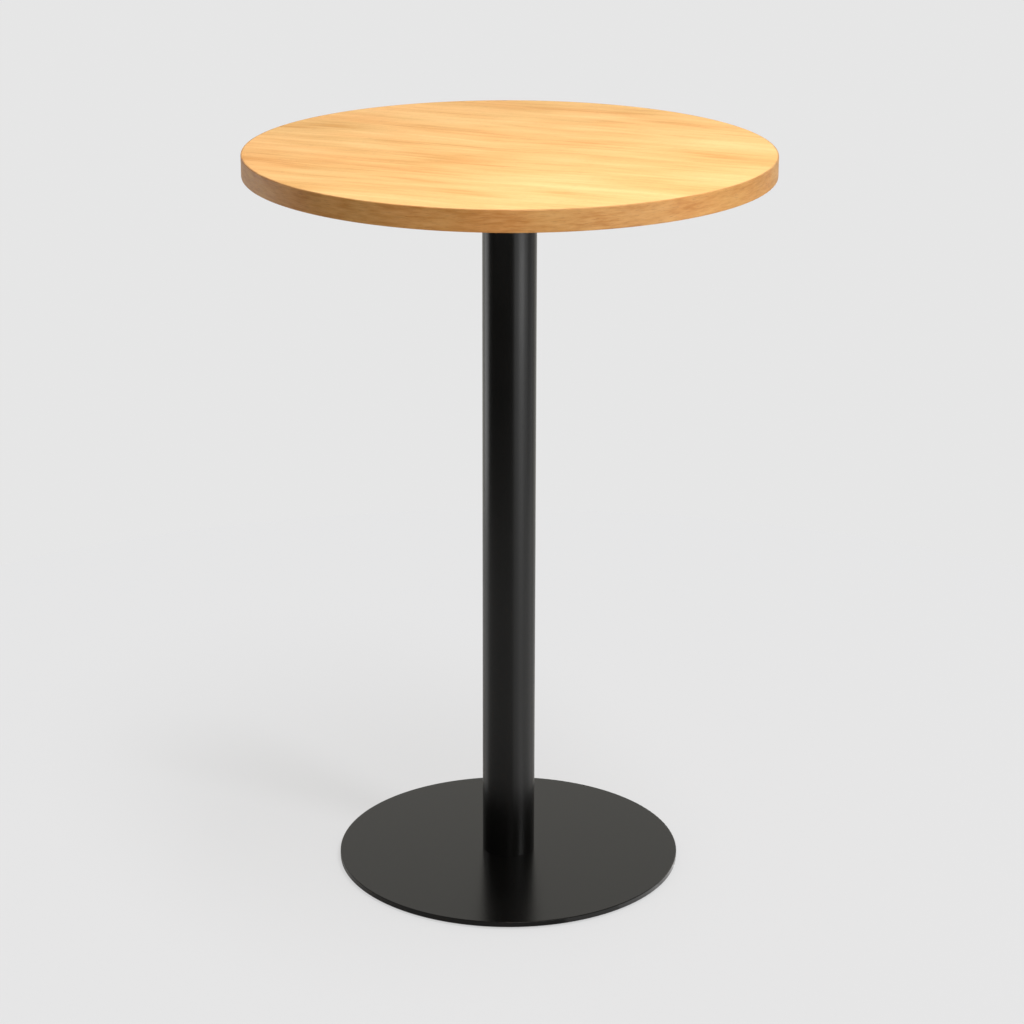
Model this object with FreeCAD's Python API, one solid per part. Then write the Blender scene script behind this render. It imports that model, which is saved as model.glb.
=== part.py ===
import FreeCAD, Part
import math
import os

# Round bar-height pub table: a veneered top on a steel tube that stands on a flat steel disc.
# Four levelling glides are screwed into the disc from below.
# Millimetres. The origin is the centre of the base on the floor, and +Z runs up the column.

# Whole table
table_height = 1070.0

# Table top: a board with a veneer on both faces and a wooden band round its edge
top_diameter = 743.0
core_thickness = 28.0
veneer_thickness = 1.0
band_thickness = 2.0
band_arris_radius = 1.2

# Column
column_diameter = 77.0
column_wall = 2.0
plug_thickness = 15.0

# Mounting plate under the top
plate_side = 240.0
plate_thickness = 5.0
plate_corner_radius = 20.0
plate_bolt_margin = 20.0        # from the plate's side to the middle of a bolt

# Base disc
base_diameter = 504.0
base_thickness = 8.0
base_top_arris = 1.0
base_bottom_arris = 0.5

# M8 countersunk screws that hold the plugs to the disc and to the mounting plate
screw_radius = 4.0
screw_head_radius = 8.0
screw_head_land = 0.4           # straight edge of the head, before its 90 degree cone
screw_head_recess = 0.2         # depth of the head's face below the surface around it
screw_socket_flats = 5.0
screw_socket_depth = 3.5
screw_edge_margin = 14.0        # from the plug's side to the middle of a screw
base_screw_engagement = 12.2    # length inside the plug
plate_screw_engagement = 11.2

# M6 button-head bolts that hold the mounting plate to the top, with washers and threaded inserts
bolt_radius = 3.0
bolt_head_radius = 5.25
bolt_head_height = 3.3
bolt_head_arris = 1.8
bolt_socket_flats = 4.0
bolt_socket_depth = 2.0
bolt_engagement = 9.4           # length above the underside of the top
washer_radius = 6.0
washer_thickness = 1.6
insert_wall = 2.0
insert_beyond_bolt = 2.6        # length of the insert above the bolt's tip
insert_hole_floor_gap = 1.0     # depth left above the insert

# Levelling glides: an M8 stud whose head turns in the pocket of a nylon pad
glide_count = 4
glide_first_angle = 45.0
glide_inset = 35.0              # from the disc's rim to the middle of a glide
pad_floor = 0.8                 # nylon below the stud's head
pad_lip = 0.7                   # nylon above the stud's head
pad_rim_width = 6.0             # nylon outside the pocket
pad_edge_radius = 0.5
stud_radius = 4.0
stud_head_radius = 8.0
stud_head_thickness = 1.4
stud_socket_flats = 5.0
stud_socket_depth = 3.0
stud_tip_gap = 0.3              # left above the stud when it is screwed home
stud_hole_roof = 1.5            # steel left above the blind hole

# Clearances, on the radius or the thickness
glue_gap = 0.02
weld_gap = 0.02
thread_clearance = 0.03
seat_clearance = 0.05
running_clearance = 0.05
hole_clearance = 0.4
key_hole_clearance = 1.5

# Heights above the floor
pad_thickness = pad_floor + stud_head_thickness + 2 * running_clearance + pad_lip
base_underside = pad_thickness
column_foot = base_underside + base_thickness
top_thickness = core_thickness + 2 * veneer_thickness
top_underside = table_height - top_thickness
core_underside = top_underside + veneer_thickness
core_top = core_underside + core_thickness
column_head = top_underside - plate_thickness

# Radii
top_radius = top_diameter / 2
core_radius = top_radius - band_thickness - glue_gap
column_radius = column_diameter / 2
plug_radius = column_radius - column_wall - weld_gap
base_radius = base_diameter / 2
insert_bore_radius = bolt_radius + thread_clearance
insert_radius = insert_bore_radius + insert_wall
insert_hole_radius = insert_radius + glue_gap
insert_length = bolt_engagement + insert_beyond_bolt
pocket_radius = stud_head_radius + running_clearance
pad_radius = pocket_radius + pad_rim_width

match_tolerance = 1e-6


def polar(radius, degrees):
    """Point on a circle about the column's axis."""
    angle = math.radians(degrees)
    return FreeCAD.Vector(radius * math.cos(angle), radius * math.sin(angle), 0.0)


def cylinder(radius, bottom, top):
    """Upright cylinder on the Z axis between two heights."""
    return Part.makeCylinder(radius, top - bottom, FreeCAD.Vector(0.0, 0.0, bottom))


def cone(bottom_radius, top_radius_of_cone, bottom, top):
    """Upright cone on the Z axis between two heights."""
    foot = FreeCAD.Vector(0.0, 0.0, bottom)
    return Part.makeCone(bottom_radius, top_radius_of_cone, top - bottom, foot)


def hexagon(across_flats, bottom, top):
    """Upright hexagonal prism on the Z axis, for a key socket."""
    corner_radius = across_flats / math.sqrt(3.0)
    corners = [polar(corner_radius, 60.0 * side) for side in range(7)]
    face = Part.Face(Part.makePolygon(corners))
    face.translate(FreeCAD.Vector(0.0, 0.0, bottom))
    return face.extrude(FreeCAD.Vector(0.0, 0.0, top - bottom))


def rim_edges(shape, radius, height):
    """Circular edges of a shape that have this radius and lie at this height."""
    found = []
    for edge in shape.Edges:
        if not isinstance(edge.Curve, Part.Circle):
            continue
        same_radius = abs(edge.Curve.Radius - radius) < match_tolerance
        same_height = abs(edge.Curve.Center.z - height) < match_tolerance
        if same_radius and same_height:
            found.append(edge)
    return found


def copies(shape, places):
    """One copy of a shape at each place."""
    return [shape.translated(place) for place in places]


# Places of the fasteners and the glides

def column_screw_places():
    """Four screws on a circle inside the column."""
    return [polar(plug_radius - screw_edge_margin, 90.0 * turn) for turn in range(4)]


def plate_bolt_places():
    """Eight bolts: one near each corner of the mounting plate and one between each two corners."""
    reach = plate_side / 2 - plate_bolt_margin
    steps = (-reach, 0.0, reach)
    grid = [FreeCAD.Vector(x, y, 0.0) for x in steps for y in steps]
    return [place for place in grid if place.Length > 0.0]


def glide_places():
    """Glides evenly round the disc, near its rim."""
    step = 360.0 / glide_count
    angles = [glide_first_angle + step * number for number in range(glide_count)]
    return [polar(base_radius - glide_inset, angle) for angle in angles]


# Table top

def top_core():
    """Board of the top, with blind holes for the inserts."""
    board = cylinder(core_radius, core_underside, core_top)
    hole_end = top_underside + insert_length + insert_hole_floor_gap
    hole = cylinder(insert_hole_radius, core_underside, hole_end)
    return board.cut(copies(hole, plate_bolt_places()))


def top_veneer():
    """Oak veneer on the board's upper face."""
    return cylinder(core_radius, core_top, table_height)


def underside_veneer():
    """Oak veneer on the board's lower face, pierced for the inserts."""
    sheet = cylinder(core_radius, top_underside, core_underside)
    hole = cylinder(insert_hole_radius, top_underside, core_underside)
    return sheet.cut(copies(hole, plate_bolt_places()))


def edge_band():
    """Oak band glued round the board, with its two outer arrises rounded."""
    disc = cylinder(top_radius, top_underside, table_height)
    arrises = rim_edges(disc, top_radius, top_underside) + rim_edges(disc, top_radius, table_height)
    disc = disc.makeFillet(band_arris_radius, arrises)
    return disc.cut(cylinder(core_radius + glue_gap, top_underside, table_height))


def threaded_insert():
    """Sleeve in the board that takes one bolt."""
    sleeve = cylinder(insert_radius, top_underside, top_underside + insert_length)
    bore = cylinder(insert_bore_radius, top_underside, top_underside + insert_length)
    return sleeve.cut(bore)


def washer():
    """Plain washer against the mounting plate's underside."""
    bottom = column_head - washer_thickness
    disc = cylinder(washer_radius, bottom, column_head)
    return disc.cut(cylinder(bolt_radius + hole_clearance, bottom, column_head))


def button_bolt():
    """Button-head bolt, head down, that runs through washer and plate into an insert."""
    head_top = column_head - washer_thickness
    head_bottom = head_top - bolt_head_height
    head = cylinder(bolt_head_radius, head_bottom, head_top)
    head = head.makeFillet(bolt_head_arris, rim_edges(head, bolt_head_radius, head_bottom))
    shank = cylinder(bolt_radius, head_top, top_underside + bolt_engagement)
    socket = hexagon(bolt_socket_flats, head_bottom, head_bottom + bolt_socket_depth)
    return head.fuse(shank).cut(socket).removeSplitter()


# Countersunk screws

def countersunk_screw(length):
    """Screw with its head's face at height 0 and its shank up the Z axis."""
    cone_top = screw_head_land + screw_head_radius - screw_radius
    head = cylinder(screw_head_radius, 0.0, screw_head_land)
    taper = cone(screw_head_radius, screw_radius, screw_head_land, cone_top)
    shank = cylinder(screw_radius, cone_top, length)
    socket = hexagon(screw_socket_flats, 0.0, screw_socket_depth)
    return head.fuse([taper, shank]).cut(socket).removeSplitter()


def countersunk_hole(depth):
    """Tool for a hole that seats such a screw: its mouth is at height 0 and it goes up to depth."""
    mouth_radius = screw_head_radius + seat_clearance
    hole_radius = screw_radius + hole_clearance
    land_top = screw_head_recess + screw_head_land
    mouth = cylinder(mouth_radius, 0.0, land_top)
    taper = cone(mouth_radius, hole_radius, land_top, land_top + mouth_radius - hole_radius)
    shank_hole = cylinder(hole_radius, 0.0, depth)
    return mouth.fuse([taper, shank_hole])


def upside_down(shape, height):
    """Shape turned over, so that what lay at height 0 lies at the given height and points down."""
    turned = shape.copy()
    turned.rotate(FreeCAD.Vector(0.0, 0.0, 0.0), FreeCAD.Vector(1.0, 0.0, 0.0), 180.0)
    return turned.translated(FreeCAD.Vector(0.0, 0.0, height))


def lifted(shape, height):
    """Shape moved up by a height."""
    return shape.translated(FreeCAD.Vector(0.0, 0.0, height))


def base_screw():
    """Screw from below through the disc into the lower plug."""
    head_face = base_underside + screw_head_recess
    length = base_thickness - screw_head_recess + base_screw_engagement
    return lifted(countersunk_screw(length), head_face)


def plate_screw():
    """Screw from above through the mounting plate into the upper plug."""
    head_face = top_underside - screw_head_recess
    length = plate_thickness - screw_head_recess + plate_screw_engagement
    return upside_down(countersunk_screw(length), head_face)


# Column and plates

def mounting_plate():
    """Square plate with rounded corners, screwed to the column and bolted to the top."""
    corner = FreeCAD.Vector(-plate_side / 2, -plate_side / 2, column_head)
    plate = Part.makeBox(plate_side, plate_side, plate_thickness, corner)
    uprights = [edge for edge in plate.Edges if abs(edge.tangentAt(edge.FirstParameter).z) > 0.5]
    plate = plate.makeFillet(plate_corner_radius, uprights)
    bolt_hole = cylinder(bolt_radius + hole_clearance, column_head, top_underside)
    screw_hole = upside_down(countersunk_hole(plate_thickness), top_underside)
    holes = copies(bolt_hole, plate_bolt_places()) + copies(screw_hole, column_screw_places())
    return plate.cut(holes)


def column_tube():
    """Steel tube from the base disc to the mounting plate."""
    outside = cylinder(column_radius, column_foot, column_head)
    return outside.cut(cylinder(column_radius - column_wall, column_foot, column_head))


def column_plug(bottom):
    """Steel disc welded inside an end of the tube, with four tapped holes."""
    disc = cylinder(plug_radius, bottom, bottom + plug_thickness)
    tapped_hole = cylinder(screw_radius + thread_clearance, bottom, bottom + plug_thickness)
    return disc.cut(copies(tapped_hole, column_screw_places()))


def base_plate():
    """Heavy steel disc with countersunk holes for the column and blind tapped holes for the glides."""
    disc = cylinder(base_radius, base_underside, column_foot)
    disc = disc.makeFillet(base_top_arris, rim_edges(disc, base_radius, column_foot))
    disc = disc.makeFillet(base_bottom_arris, rim_edges(disc, base_radius, base_underside))
    screw_hole = lifted(countersunk_hole(base_thickness), base_underside)
    stud_hole = cylinder(stud_radius + running_clearance, base_underside, column_foot - stud_hole_roof)
    holes = copies(screw_hole, column_screw_places()) + copies(stud_hole, glide_places())
    return disc.cut(holes)


# Levelling glides

def glide_pad():
    """Nylon pad with a pocket for the stud's head and a hole below it for the key."""
    pocket_top = pad_thickness - pad_lip
    pad = cylinder(pad_radius, 0.0, pad_thickness)
    pad = pad.makeFillet(pad_edge_radius, rim_edges(pad, pad_radius, 0.0))
    key_hole = cylinder(stud_socket_flats / 2 + key_hole_clearance, 0.0, pad_floor)
    pocket = cylinder(pocket_radius, pad_floor, pocket_top)
    neck = cylinder(stud_radius + running_clearance, pocket_top, pad_thickness)
    return pad.cut([key_hole, pocket, neck])


def glide_stud():
    """Threaded stud with a flat head and a hexagon socket that is reached from below."""
    head_bottom = pad_floor + running_clearance
    head_top = head_bottom + stud_head_thickness
    tip = column_foot - stud_hole_roof - stud_tip_gap
    head = cylinder(stud_head_radius, head_bottom, head_top)
    shank = cylinder(stud_radius, head_top, tip)
    socket = hexagon(stud_socket_flats, head_bottom, head_bottom + stud_socket_depth)
    return head.fuse(shank).cut(socket).removeSplitter()


def group(shape, places):
    """Identical fasteners as separate solids of one node."""
    return Part.makeCompound(copies(shape, places))


def table_nodes():
    """Every node of the table by name."""
    nodes = {
        "top_core": top_core(),
        "top_veneer": top_veneer(),
        "underside_veneer": underside_veneer(),
        "edge_band": edge_band(),
        "top_inserts": group(threaded_insert(), plate_bolt_places()),
        "top_bolts": group(button_bolt(), plate_bolt_places()),
        "top_washers": group(washer(), plate_bolt_places()),
        "mounting_plate": mounting_plate(),
        "plate_screws": group(plate_screw(), column_screw_places()),
        "column_top_plug": column_plug(column_head - plug_thickness),
        "column_tube": column_tube(),
        "column_base_plug": column_plug(column_foot),
        "base_plate": base_plate(),
        "base_screws": group(base_screw(), column_screw_places()),
    }
    for number, place in enumerate(glide_places(), start=1):
        nodes[f"glide_pad_{number}"] = glide_pad().translated(place)
        nodes[f"glide_stud_{number}"] = glide_stud().translated(place)
    return nodes


os.makedirs("parts", exist_ok=True)
for name, shape in table_nodes().items():
    shape.exportStep(f"parts/{name}.step")
    print(f"{name}: {len(shape.Solids)} solids, {shape.Volume / 1000.0:.2f} cm3, valid {shape.isValid()}")
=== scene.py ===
import math
from collections import namedtuple

import bpy
from mathutils import Matrix, Vector


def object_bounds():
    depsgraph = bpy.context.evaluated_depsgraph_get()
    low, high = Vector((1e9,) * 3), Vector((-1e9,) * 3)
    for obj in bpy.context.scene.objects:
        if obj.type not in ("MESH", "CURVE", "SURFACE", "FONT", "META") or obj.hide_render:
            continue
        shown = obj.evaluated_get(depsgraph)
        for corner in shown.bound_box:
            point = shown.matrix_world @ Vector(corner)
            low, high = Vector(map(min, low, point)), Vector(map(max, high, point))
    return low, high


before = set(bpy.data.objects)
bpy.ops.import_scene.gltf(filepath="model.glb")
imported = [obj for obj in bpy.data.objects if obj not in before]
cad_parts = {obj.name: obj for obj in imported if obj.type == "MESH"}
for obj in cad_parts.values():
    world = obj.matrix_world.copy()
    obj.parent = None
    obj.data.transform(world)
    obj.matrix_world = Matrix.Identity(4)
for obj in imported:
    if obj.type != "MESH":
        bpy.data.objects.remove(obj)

# A round pub table: lacquered oak top, black powder-coated column and base disc.
# Metres, in the frame of the CAD model: the origin is on the floor under the column, and +Z is up.
# Colours are linear, and azimuths turn from the front (-Y) towards the right (+X).

cad_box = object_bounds()

WHITE = (1.0, 1.0, 1.0)
SLOW_DETAIL = 1.0                      # of a noise that only drifts
FINE_DETAIL = 3.0


# Node trees

def new_material(name):
    """New material with its empty node tree and that tree's output node."""
    material = bpy.data.materials.new(name)
    material.use_nodes = True
    tree = material.node_tree
    tree.nodes.clear()
    return material, tree, tree.nodes.new("ShaderNodeOutputMaterial")


def put(tree, value, socket):
    """Links an output to a socket, or sets the socket's value."""
    if isinstance(value, bpy.types.NodeSocket):
        tree.links.new(value, socket)
    else:
        socket.default_value = value


def add(tree, kind, settings=None, **inputs):
    """New node with its settings and its inputs, which are values or other nodes' outputs."""
    node = tree.nodes.new("ShaderNode" + kind)
    for name, value in (settings or {}).items():
        setattr(node, name, value)
    for name, value in inputs.items():
        put(tree, value, node.inputs[name.replace("_", " ")])
    return node


def fill(tree, node, *values):
    """Puts values into a node's enabled inputs in their order, and gives its first enabled output."""
    for value, socket in zip(values, [socket for socket in node.inputs if socket.enabled]):
        put(tree, value, socket)
    return next(socket for socket in node.outputs if socket.enabled)


def math_node(tree, operation, *values):
    """Output of a math node."""
    return fill(tree, add(tree, "Math", {"operation": operation}), *values)


def mixed(tree, factor, first, second, blend="MIX"):
    """Mix of two colours."""
    node = add(tree, "Mix", {"data_type": "RGBA", "blend_type": blend})
    return fill(tree, node, factor, rgba(first), rgba(second))


def multiplied(tree, first, second):
    """Product of two colours."""
    return mixed(tree, 1.0, first, second, "MULTIPLY")


def rgba(colour):
    """Colour tuple with alpha, or an output as it is."""
    return (*colour, 1.0) if isinstance(colour, tuple) else colour


def grey(level):
    return (level, level, level)


def object_coordinates(tree):
    return add(tree, "TexCoord").outputs["Object"]


def stretched(tree, vector, stretch, turn=0.0):
    """Coordinates turned about Z and then stretched, one factor for each axis."""
    turned = add(tree, "Mapping", Vector=vector, Rotation=(0.0, 0.0, turn))
    return add(tree, "Mapping", Vector=turned.outputs[0], Scale=stretch).outputs[0]


def noise(tree, vector, scale=1.0, detail=2.0):
    """Grey output of a noise texture, around 0.5."""
    return add(tree, "TexNoise", Vector=vector, Scale=scale, Detail=detail).outputs["Fac"]


def ramp(tree, factor, stops, interpolation="EASE"):
    """Colour of a ramp: stops are (position, colour)."""
    node = add(tree, "ValToRGB", Fac=factor)
    node.color_ramp.interpolation = interpolation
    elements = node.color_ramp.elements
    while len(elements) < len(stops):
        elements.new(0.5)
    for element, (position, colour) in zip(elements, stops):
        element.position = position
        element.color = rgba(colour)
    return node.outputs["Color"]


def between(tree, factor, limits, first, second):
    """Colour or grey level that runs from first to second as the factor crosses its limits."""
    first, second = (end if isinstance(end, tuple) else grey(end) for end in (first, second))
    return ramp(tree, factor, list(zip(limits, (first, second))))


def bump(tree, height, distance, strength):
    return add(tree, "Bump", Height=height, Distance=distance, Strength=strength).outputs["Normal"]


def principled(tree, output, **inputs):
    shader = add(tree, "BsdfPrincipled", **inputs)
    tree.links.new(shader.outputs[0], output.inputs["Surface"])


def by_ray(tree, for_table, for_camera, output):
    """One shader for the camera and another for every other ray."""
    choice = add(tree, "MixShader", Fac=add(tree, "LightPath").outputs["Is Camera Ray"])
    tree.links.new(for_table, choice.inputs[1])
    tree.links.new(for_camera, choice.inputs[2])
    tree.links.new(choice.outputs[0], output.inputs["Surface"])


# Oak

Layer = namedtuple("Layer", "stretch detail")    # stretch in repeats per metre

GRAIN_ANGLE = math.radians(20.0)
TOP_GRAIN = {
    "cloud": Layer((1.7, 7.0, 1.0), 1.0),
    "streak": Layer((4.8, 22.0, 1.0), 2.5),
    "band": Layer((8.0, 80.0, 1.0), 2.0),
    "line": Layer((5.0, 190.0, 1.0), 3.0),
    "fibre": Layer((12.0, 620.0, 1.0), 4.0),
    "pore": Layer((70.0, 1500.0, 1.0), 2.0),
}
EDGE_GRAIN = {                         # runs round the top
    "cloud": Layer((9.0, 9.0, 30.0), 1.0),
    "streak": Layer((22.0, 22.0, 130.0), 2.0),
    "band": Layer((45.0, 45.0, 260.0), 2.0),
    "line": Layer((60.0, 60.0, 480.0), 2.0),
    "fibre": Layer((60.0, 60.0, 900.0), 4.0),
    "pore": Layer((90.0, 90.0, 2200.0), 1.0),
}
GRAIN_SHARES = {"cloud": 0.26, "streak": 0.38, "band": 0.20, "line": 0.22, "fibre": 0.16}
GRAIN_SPREAD = 0.132                   # of the tone, from the middle colour to the dark or the light one
WANDER_PER_METRE = 2.6
WANDER_REACH = (0.04, 0.05, 0.0)

OAK_LIGHT = (0.79, 0.479, 0.195)
OAK_MID = (0.71, 0.393, 0.139)
OAK_DARK = (0.58, 0.273, 0.066)
PORE = (0.30, 0.14, 0.05)
PORE_LIMITS = (0.60, 0.68)
PORE_SHARE = 0.42
WARM = (1.016, 0.978, 0.95)
COOL = (0.978, 1.022, 1.03)
HUE_STRETCH = (6.0, 14.0, 6.0)
HUE_LIMITS = (0.35, 0.65)

LACQUER_IOR = 1.45
TOP_ROUGHNESS = 0.70
UNDERSIDE_ROUGHNESS = 0.75
EDGE_ROUGHNESS = 0.51
FIBRE_ROUGHNESS = (-0.05, 0.07)        # added to the roughness from fibre to fibre
FIBRE_LIMITS = (0.3, 0.7)
FIBRE_RELIEF = 0.35                    # share of the relief's depth
OAK_RELIEF = 0.00012
OAK_RELIEF_STRENGTH = 0.5
UNDERSIDE_TINT = (0.86, 0.84, 0.80)
EDGE_TINT = (0.705, 0.59, 0.43)
EDGE_CONTRAST = 0.96


def wandering(tree, place):
    """Coordinates that drift slowly from place, so that no grain is quite straight."""
    drift = add(tree, "TexNoise", Vector=place, Scale=WANDER_PER_METRE, Detail=SLOW_DETAIL).outputs["Color"]
    moved = add(tree, "VectorMath", {"operation": "MULTIPLY_ADD"})
    return fill(tree, moved, drift, WANDER_REACH, place)


def grain_tone(tree, layers):
    """Sum of the layers' shares, around 0.5."""
    tone = 0.5 - 0.5 * sum(GRAIN_SHARES.values())
    for layer, share in GRAIN_SHARES.items():
        tone = math_node(tree, "ADD", math_node(tree, "MULTIPLY", layers[layer], share), tone)
    return tone


def oak_colour(tree, place, layers, pores, tint, turn, contrast):
    """Light and dark grain with darker pores, and a drift between warmer and cooler wood."""
    spread = GRAIN_SPREAD / contrast
    stops = [(0.5 - spread, OAK_DARK), (0.5, OAK_MID), (0.5 + spread, OAK_LIGHT)]
    grained = ramp(tree, grain_tone(tree, layers), stops, "LINEAR")
    with_pores = mixed(tree, pores, grained, PORE)
    drift = noise(tree, stretched(tree, place, HUE_STRETCH, turn), detail=SLOW_DETAIL)
    hue = between(tree, drift, HUE_LIMITS, WARM, COOL)
    return multiplied(tree, multiplied(tree, with_pores, hue), tint)


def oak(name, grain, roughness, tint=WHITE, turn=0.0, contrast=1.0):
    """Lacquered oak. turn turns the coordinates of its layers of grain about Z."""
    material, tree, output = new_material(name)
    place = object_coordinates(tree)
    bent = wandering(tree, place)
    layers = {}
    for kind, layer in grain.items():
        layers[kind] = noise(tree, stretched(tree, bent, layer.stretch, turn), detail=layer.detail)
    mask = between(tree, layers["pore"], PORE_LIMITS, 0.0, 1.0)
    pores = math_node(tree, "MULTIPLY", mask, PORE_SHARE)
    fibre = layers["fibre"]
    dull, duller = (roughness + change for change in FIBRE_ROUGHNESS)
    relief = math_node(tree, "SUBTRACT", math_node(tree, "MULTIPLY", fibre, FIBRE_RELIEF), pores)
    principled(tree, output, IOR=LACQUER_IOR,
               Base_Color=oak_colour(tree, place, layers, pores, tint, turn, contrast),
               Roughness=between(tree, fibre, FIBRE_LIMITS, dull, duller),
               Normal=bump(tree, relief, OAK_RELIEF, OAK_RELIEF_STRENGTH))
    return material


# Powder coat

COAT_DARK = (0.0020, 0.0019, 0.0018)
COAT_LIGHT = (0.0030, 0.0029, 0.0027)
COAT_IOR = 1.32
DISC_ROUGHNESS = 0.205
COLUMN_ROUGHNESS = 0.25
COAT_ROUGHNESS_SPREAD = 0.02
SWELL_PER_METRE = 9.0
SWELL_LIMITS = (0.3, 0.7)
PEEL_PER_METRE = 600.0
PEEL_RELIEF = 0.00008
PEEL_STRENGTH = 0.5


def powder_coat(name, roughness):
    """Satin black powder coat with a fine orange peel."""
    material, tree, output = new_material(name)
    place = object_coordinates(tree)
    peel = noise(tree, place, scale=PEEL_PER_METRE, detail=FINE_DETAIL)
    swell = noise(tree, place, scale=SWELL_PER_METRE, detail=FINE_DETAIL)
    rougher = roughness + COAT_ROUGHNESS_SPREAD
    principled(tree, output, IOR=COAT_IOR,
               Base_Color=between(tree, swell, SWELL_LIMITS, COAT_DARK, COAT_LIGHT),
               Roughness=between(tree, swell, SWELL_LIMITS, roughness, rougher),
               Normal=bump(tree, peel, PEEL_RELIEF, PEEL_STRENGTH))
    return material


# Fasteners, glides and board

METALS = {                             # colour, least and greatest roughness
    "zinc_plated_steel": ((0.52, 0.53, 0.55), 0.28, 0.42),
    "black_oxide_steel": ((0.035, 0.035, 0.038), 0.35, 0.50),
    "turned_steel": ((0.36, 0.36, 0.37), 0.30, 0.45),
    "brass": ((0.72, 0.50, 0.20), 0.25, 0.40),
}
SCRATCH_STRETCH = (400.0, 400.0, 2600.0)
SCRATCH_LIMITS = (0.3, 0.7)
SCRATCH_RELIEF = 0.00003
SCRATCH_STRENGTH = 0.3
TARNISH_PER_METRE = 120.0
TARNISH = 0.72

NYLON_DARK = (0.012, 0.012, 0.013)
NYLON_SCUFFED = (0.035, 0.034, 0.033)
NYLON_IOR = 1.5
SPARK_PER_METRE = 2500.0
SPARK_RELIEF = 0.00004
SPARK_STRENGTH = 0.5
SCUFF_STRETCH = (300.0, 90.0, 300.0)
SCUFF_DETAIL = 4.0
SCUFF_TURN = math.radians(30.0)
SCUFF_LIMITS = (0.55, 0.75)
SCUFF_GLOSS_LIMITS = (0.4, 0.7)
NYLON_ROUGHNESS = (0.5, 0.68)

CHIP_STRETCH = (300.0, 300.0, 900.0)
CHIP_LIMITS = (0.1, 0.9)
CHIP_DARK = (0.30, 0.19, 0.10)
CHIP_LIGHT = (0.58, 0.42, 0.25)
CHIP_ROUGHNESS = 0.85
CHIP_RELIEF = 0.0001
CHIP_STRENGTH = 0.5


def metal(name, colour, least_roughness, greatest_roughness):
    """Machined metal with fine scratches and an uneven plated, oxidised or bare finish."""
    material, tree, output = new_material(name)
    place = object_coordinates(tree)
    scratch = noise(tree, stretched(tree, place, SCRATCH_STRETCH), detail=FINE_DETAIL)
    cloud = noise(tree, place, scale=TARNISH_PER_METRE, detail=FINE_DETAIL)
    tarnished = multiplied(tree, colour, grey(TARNISH))
    principled(tree, output, Metallic=1.0,
               Base_Color=mixed(tree, cloud, colour, tarnished),
               Roughness=between(tree, scratch, SCRATCH_LIMITS, least_roughness, greatest_roughness),
               Normal=bump(tree, scratch, SCRATCH_RELIEF, SCRATCH_STRENGTH))
    return material


def moulded_nylon(name):
    """Black nylon with a fine spark-eroded grain and lighter scuffs."""
    material, tree, output = new_material(name)
    place = object_coordinates(tree)
    spark = noise(tree, place, scale=SPARK_PER_METRE)
    scuff = noise(tree, stretched(tree, place, SCUFF_STRETCH, SCUFF_TURN), detail=SCUFF_DETAIL)
    principled(tree, output, IOR=NYLON_IOR,
               Base_Color=between(tree, scuff, SCUFF_LIMITS, NYLON_DARK, NYLON_SCUFFED),
               Roughness=between(tree, scuff, SCUFF_GLOSS_LIMITS, *NYLON_ROUGHNESS),
               Normal=bump(tree, spark, SPARK_RELIEF, SPARK_STRENGTH))
    return material


def chipboard(name):
    """Pressed wood chips."""
    material, tree, output = new_material(name)
    place = stretched(tree, object_coordinates(tree), CHIP_STRETCH)
    chips = add(tree, "TexVoronoi", Vector=place, Scale=1.0)
    shade = add(tree, "RGBToBW", Color=chips.outputs["Color"]).outputs["Val"]
    principled(tree, output, Roughness=CHIP_ROUGHNESS,
               Base_Color=between(tree, shade, CHIP_LIMITS, CHIP_DARK, CHIP_LIGHT),
               Normal=bump(tree, shade, CHIP_RELIEF, CHIP_STRENGTH))
    return material


def oak_materials():
    return {
        "top_veneer": oak("oak_top", TOP_GRAIN, TOP_ROUGHNESS, turn=GRAIN_ANGLE),
        "underside_veneer": oak("oak_underside", TOP_GRAIN, UNDERSIDE_ROUGHNESS, tint=UNDERSIDE_TINT),
        "edge_band": oak("oak_edge", EDGE_GRAIN, EDGE_ROUGHNESS, tint=EDGE_TINT, contrast=EDGE_CONTRAST),
    }


def other_materials():
    metals = {name: metal(name, *finish) for name, finish in METALS.items()}
    zinc = metals["zinc_plated_steel"]
    bare = metals["turned_steel"]
    coat = powder_coat("black_powder_coat", DISC_ROUGHNESS)
    return {
        "top_core": chipboard("chipboard"),
        "top_inserts": metals["brass"],
        "top_bolts": zinc,
        "top_washers": zinc,
        "mounting_plate": coat,
        "plate_screws": zinc,
        "column_top_plug": bare,
        "column_tube": powder_coat("black_powder_coat_column", COLUMN_ROUGHNESS),
        "column_base_plug": bare,
        "base_plate": coat,
        "base_screws": metals["black_oxide_steel"],
        "glide_pad": moulded_nylon("black_nylon"),
        "glide_stud": zinc,
    }


def dress_nodes():
    """Gives each CAD node its material. The glides' nodes are numbered."""
    materials = oak_materials() | other_materials()
    for name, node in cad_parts.items():
        kind = name.rstrip("_0123456789")
        for slot in node.material_slots:
            slot.material = materials[kind]


# Panels for the table: upright lamps round it, in zones from the floor up

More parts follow.
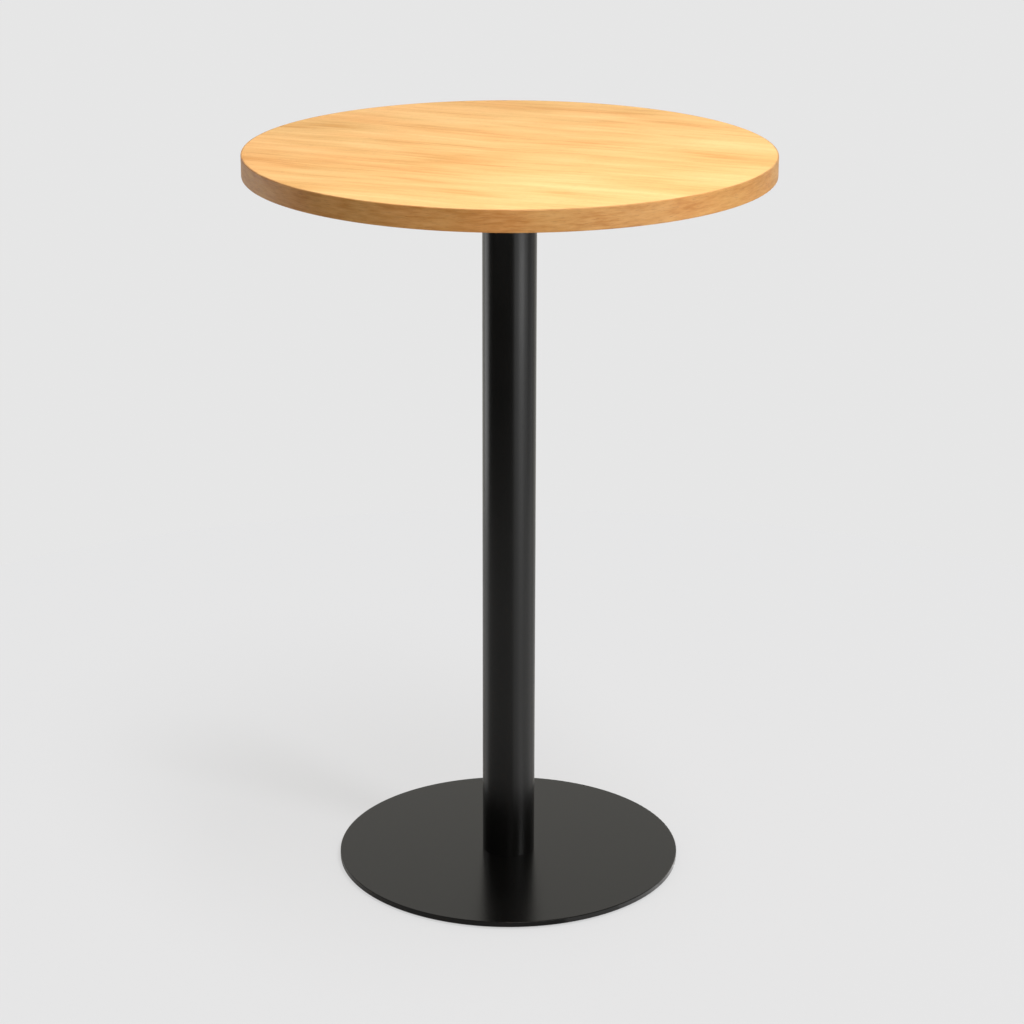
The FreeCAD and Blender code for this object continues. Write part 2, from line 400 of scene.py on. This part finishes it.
PANEL_DISTANCE = 1.4
PANEL_ZONES = {
    "low": (0.0, 0.10),
    "middle": (0.10, 0.45),
    "upper": (0.45, 0.75),
    "high": (0.75, 1.05),
    "mirrored": (-0.90, -0.62),        # a panel as the disc mirrors it into the column's foot
}
PANELS = {                             # middle and span of its azimuth in degrees, radiance of each zone
    "front_right": (50.0, 60.0, {"low": 0.75, "middle": 1.6, "upper": 2.7, "high": 0.5}),
    "front_right_core": (52.5, 22.5, {"low": 0.5, "middle": 1.05, "upper": 3.8}),
    "right": (97.5, 37.5, {"low": 0.6, "middle": 0.8, "upper": 0.7}),
    "left": (-112.5, 30.0, {"low": 0.55, "middle": 2.3, "upper": 2.2}),
    "front_left": (-34.0, 67.0, {"high": 0.75}),
    "foot": (60.0, 18.0, {"mirrored": 1.9}),
}


# Floor and world

FLOOR_RADIUS = 1.6
FLOOR_SIDES = 96
FLOOR_ALBEDO = 0.66                    # as the table sees it
FLOOR_SEEN_ALBEDO = (0.198, 0.200, 0.210)  # as the camera sees it, with the glow that keeps the shadow soft
FLOOR_GLOW = 0.5780

BACKGROUND = 0.7925                    # as the camera sees it, in the floor's tone
BACKDROP_LEVEL = 0.81
BACKDROP_LIMITS = (0.15, 0.80)         # of a direction's Y, from the room in front to the backdrop
ROOM_LEVEL = 0.123
CEILING_LEVEL = 0.52
CEILING_LIMITS = (0.20, 0.75)          # of a direction's Z
ROOM_TONE = (1.02, 1.0, 0.93)          # slightly warm


def lit_and_glowing(tree, colour, glow):
    """Diffuse shader with a white glow of its own."""
    lit = add(tree, "BsdfDiffuse", Color=rgba(colour))
    glowing = add(tree, "Emission", Color=rgba(WHITE), Strength=glow)
    return fill(tree, add(tree, "AddShader"), lit.outputs[0], glowing.outputs[0])


def gleam_of_panels(tree):
    """Painted glow on the floor: the radiance of the panels' lowest zone, each in its own wedge of the
    floor.
    """
    parts = add(tree, "SeparateXYZ", Vector=object_coordinates(tree)).outputs
    azimuth = math_node(tree, "ARCTAN2", parts["X"], math_node(tree, "MULTIPLY", parts["Y"], -1.0))
    gleam = 0.0
    for middle, span, zones in PANELS.values():
        if "low" in zones:
            inside = math_node(tree, "COMPARE", azimuth, math.radians(middle), math.radians(span) / 2.0)
            gleam = math_node(tree, "ADD", gleam, math_node(tree, "MULTIPLY", inside, zones["low"]))
    return gleam


def floor_material():
    """Pale floor. The camera sees part of it as a plain glow; the table sees a painted glow of the panels'
    lowest zone in it.
    """
    material, tree, output = new_material("pale_floor")
    material.cycles.emission_sampling = "NONE"
    for_table = lit_and_glowing(tree, grey(FLOOR_ALBEDO), gleam_of_panels(tree))
    for_camera = lit_and_glowing(tree, FLOOR_SEEN_ALBEDO, FLOOR_GLOW)
    by_ray(tree, for_table, for_camera, output)
    return material


def build_floor():
    rim = []
    for side in range(FLOOR_SIDES):
        angle = 2.0 * math.pi * side / FLOOR_SIDES
        rim.append((FLOOR_RADIUS * math.cos(angle), FLOOR_RADIUS * math.sin(angle), 0.0))
    mesh = bpy.data.meshes.new("floor")
    mesh.from_pydata(rim, [], [tuple(range(FLOOR_SIDES))])
    mesh.materials.append(floor_material())
    floor = bpy.data.objects.new("floor", mesh)
    bpy.context.scene.collection.objects.link(floor)
    return floor


def level_between(tree, value, limits, first, second):
    """Level that runs smoothly from first to second as the value crosses its limits."""
    node = add(tree, "MapRange", {"interpolation_type": "SMOOTHSTEP"})
    return fill(tree, node, value, *limits, first, second)


def build_world():
    """Bright backdrop behind the table and a darker room in front; the camera sees a plain pale tone."""
    world = bpy.data.worlds.new("studio")
    world.use_nodes = True
    bpy.context.scene.world = world
    tree = world.node_tree
    tree.nodes.clear()
    output = tree.nodes.new("ShaderNodeOutputWorld")
    parts = add(tree, "SeparateXYZ", Vector=add(tree, "TexCoord").outputs["Generated"]).outputs
    backdrop = level_between(tree, parts["Y"], BACKDROP_LIMITS, ROOM_LEVEL, BACKDROP_LEVEL)
    ceiling = level_between(tree, parts["Z"], CEILING_LIMITS, 0.0, CEILING_LEVEL)
    level = math_node(tree, "MAXIMUM", backdrop, ceiling)
    for_table = add(tree, "Background", Color=rgba(ROOM_TONE), Strength=level)
    for_camera = add(tree, "Background", Color=rgba(WHITE), Strength=BACKGROUND)
    by_ray(tree, for_table.outputs[0], for_camera.outputs[0], output)


# Lamps

SOFT_BOXES = {                         # place, side, radiance
    "key": (Vector((0.46, -0.58, 2.35)), 1.2, 3.70),
    "front_high": (Vector((0.0, -2.0, 2.6)), 1.0, 0.70),
    "front_middle": (Vector((0.4, -2.4, 1.5)), 1.0, 2.05),
}
OVERHEAD_HEIGHT = 20.0                 # elongated lamp that casts the top's soft shadow
OVERHEAD_SLOPE = (0.211, -0.259)
OVERHEAD_SPREAD = (0.768, 0.230)
OVERHEAD_TURN = math.radians(110.6)
OVERHEAD_RADIANCE = 8.6
SLANTING_DIRECTION = Vector((0.509, -0.407, 1.041))
SLANTING_STRENGTH = 1.107
SLANTING_ANGLE = math.radians(11.3)


def members(name, objects):
    """Collection of the objects that a lamp lights, or that stop its light."""
    collection = bpy.data.collections.new(name)
    for member in objects:
        collection.objects.link(member)
    return collection


def lamp(data, place, direction, lit, stopping=None):
    """Lamp at a place, shining from a direction onto the objects of a collection."""
    made = bpy.data.objects.new(data.name, data)
    made.location = place
    made.rotation_euler = Vector(direction).to_track_quat("Z", "Y").to_euler()
    made.visible_camera = False
    made.light_linking.receiver_collection = lit
    made.light_linking.blocker_collection = stopping
    bpy.context.scene.collection.objects.link(made)
    return made


def area_data(name, shape, width, height, radiance):
    """Area lamp data for a given radiance."""
    data = bpy.data.lights.new(name, "AREA")
    data.shape = shape
    data.size = width
    data.size_y = height
    filled = 1.0 if shape == "RECTANGLE" else math.pi / 4.0
    data.energy = radiance * math.pi * width * height * filled
    return data


def build_soft_boxes(table):
    """Soft boxes, turned to the middle of the top."""
    top_centre = Vector((0.0, 0.0, cad_box[1][2]))
    for name, (place, side, radiance) in SOFT_BOXES.items():
        lamp(area_data(name, "RECTANGLE", side, side, radiance), place, place - top_centre, table)


def build_panels(above_base, table, column):
    """Panels for all but the disc, and the mirrored one for the column alone, through disc and floor."""
    for name, (azimuth, span, zones) in PANELS.items():
        turn = math.radians(azimuth)
        outward = Vector((math.sin(turn), -math.cos(turn), 0.0))
        width = 2.0 * PANEL_DISTANCE * math.tan(math.radians(span) / 2.0)
        for zone, radiance in zones.items():
            lower, upper = PANEL_ZONES[zone]
            place = outward * PANEL_DISTANCE + Vector((0.0, 0.0, (lower + upper) / 2.0))
            panel = area_data(name + "_" + zone, "RECTANGLE", width, upper - lower, radiance)
            if zone == "mirrored":
                panel.cycles.use_multiple_importance_sampling = False
                lamp(panel, place, outward, column, column)
            else:
                lamp(panel, place, outward, above_base, table)


def build_floor_lamps(ground, column_and_base):
    """Far lamps that light only the floor and give it the table's shadow."""
    width, height = (spread * OVERHEAD_HEIGHT for spread in OVERHEAD_SPREAD)
    overhead = area_data("overhead", "ELLIPSE", width, height, OVERHEAD_RADIANCE)
    place = Vector((*OVERHEAD_SLOPE, 1.0)) * OVERHEAD_HEIGHT
    made = lamp(overhead, place, (0.0, 0.0, 1.0), ground)
    made.rotation_euler = (0.0, 0.0, OVERHEAD_TURN)
    slanting = bpy.data.lights.new("slanting", "SUN")
    slanting.energy = SLANTING_STRENGTH
    slanting.angle = SLANTING_ANGLE
    lamp(slanting, SLANTING_DIRECTION, SLANTING_DIRECTION, ground, column_and_base)


def build_lamps(floor):
    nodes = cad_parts
    table = members("table", nodes.values())
    above_base = members("above_base", [node for node in nodes.values() if node != nodes["base_plate"]])
    ground = members("ground", [floor])
    column = members("column", [nodes["column_tube"]])
    column_and_base = members("column_and_base", [nodes["column_tube"], nodes["base_plate"]])
    build_soft_boxes(table)
    build_panels(above_base, table, column)
    build_floor_lamps(ground, column_and_base)


# Camera

SENSOR_WIDTH_MM = 36.0
LENS_MM = 100.67
CAMERA_DISTANCE = 3.914
CAMERA_HEIGHT = 1.875
CAMERA_PITCH = math.radians(18.824)    # down from the horizontal
CAMERA_YAW = math.radians(0.062)
CAMERA_ROLL = math.radians(0.129)


def build_camera():
    data = bpy.data.cameras.new("camera")
    data.sensor_width = SENSOR_WIDTH_MM
    data.lens = LENS_MM
    camera = bpy.data.objects.new("camera", data)
    aim = Matrix.Rotation(-CAMERA_YAW, 4, "Z")
    aim = aim @ Matrix.Rotation(math.pi / 2.0 - CAMERA_PITCH, 4, "X")
    aim = aim @ Matrix.Rotation(CAMERA_ROLL, 4, "Z")
    camera.matrix_world = Matrix.Translation((0.0, -CAMERA_DISTANCE, CAMERA_HEIGHT)) @ aim
    bpy.context.scene.collection.objects.link(camera)
    bpy.context.scene.camera = camera


dress_nodes()
build_world()
build_lamps(build_floor())
build_camera()
bpy.context.scene.view_settings.view_transform = "Standard"
